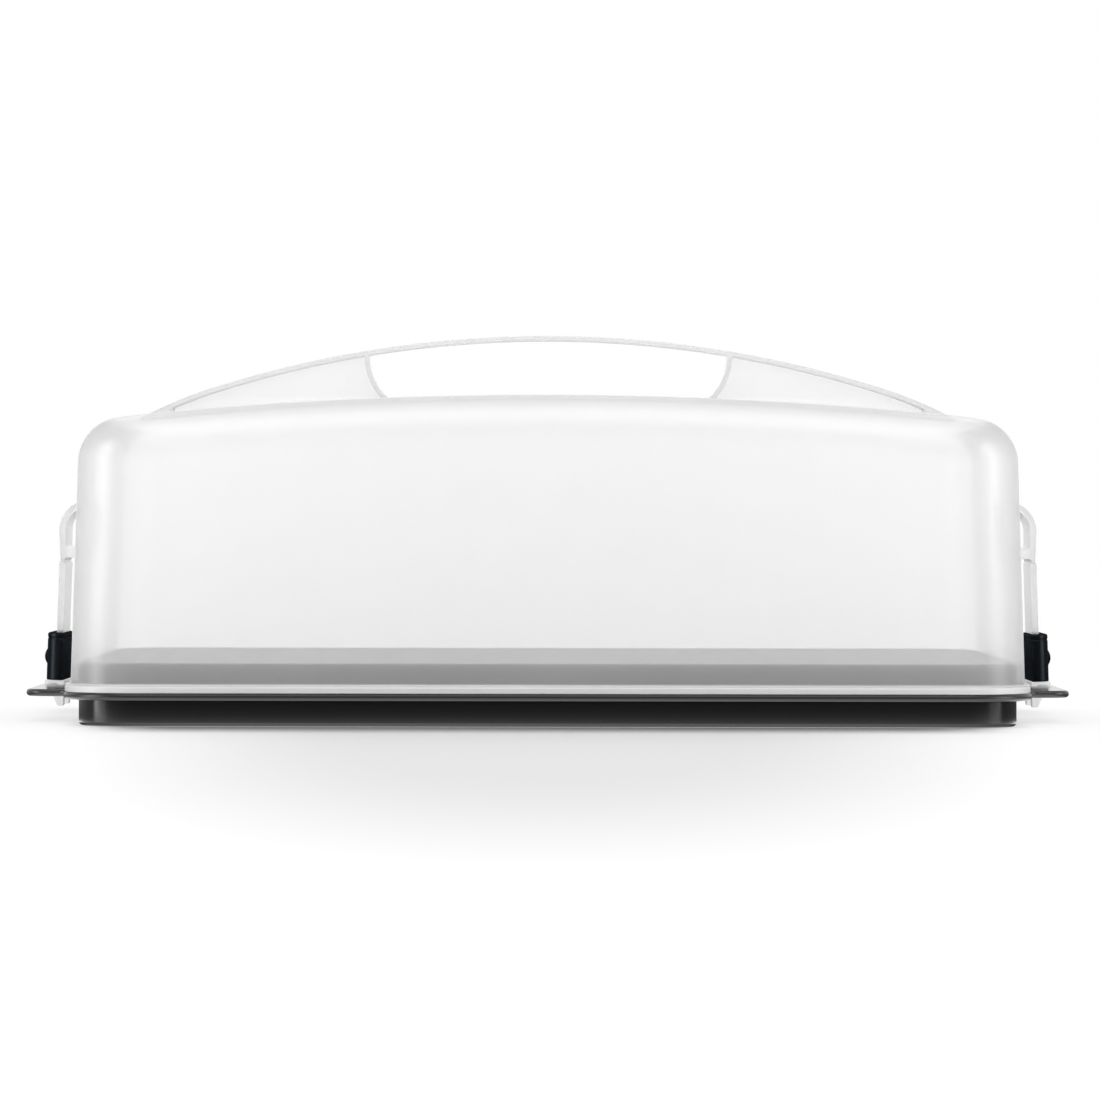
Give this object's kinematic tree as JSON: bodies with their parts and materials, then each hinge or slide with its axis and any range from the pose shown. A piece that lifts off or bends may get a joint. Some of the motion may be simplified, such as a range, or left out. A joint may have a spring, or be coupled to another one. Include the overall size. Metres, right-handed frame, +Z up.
{
  "type": "cake carrier",
  "caption": "Rectangular cake carrier: a shallow base tray, a clear hood that lifts off, an arched carrying handle on top and squeeze latches on the short ends.",
  "frame": {"origin": "centre of the footprint, on the surface the carrier stands on", "axes": "+X along the length, from the left latch to the right one; +Y from the front to the back; +Z up, the way the hood lifts off"},
  "size_m": [0.437, 0.294, 0.164],
  "materials": {
    "dark_plastic": "charcoal moulded polypropylene, satin gloss",
    "clear_plastic": "translucent, slightly frosted polypropylene",
    "soft_grip": "black soft-touch elastomer, matt"
  },
  "bodies": {
    "base": {"base_tray": "dark_plastic"},
    "hood": {"hood": "clear_plastic", "carry_handle": "clear_plastic"},
    "latch_left": {"latch_arm_left": "clear_plastic", "grip_pad_left": "soft_grip"},
    "latch_right": {"latch_arm_right": "clear_plastic", "grip_pad_right": "soft_grip"}
  },
  "joints": [
    {"name": "hood_lift", "type": "slide", "parent": "base", "child": "hood", "axis": [0, 0, 1], "range_m": [0, 0.16]},
    {"name": "latch_squeeze_left", "type": "hinge", "parent": "hood", "child": "latch_left", "pos_m": [-0.2084, 0, 0.0655], "axis": [0, -1, 0], "range_deg": [0, 4], "stiffness_Nm_per_rad": 2.5},
    {"name": "latch_squeeze_right", "type": "hinge", "parent": "hood", "child": "latch_right", "pos_m": [0.2084, 0, 0.0655], "axis": [0, 1, 0], "range_deg": [0, 4], "stiffness_Nm_per_rad": 2.5}
  ]
}
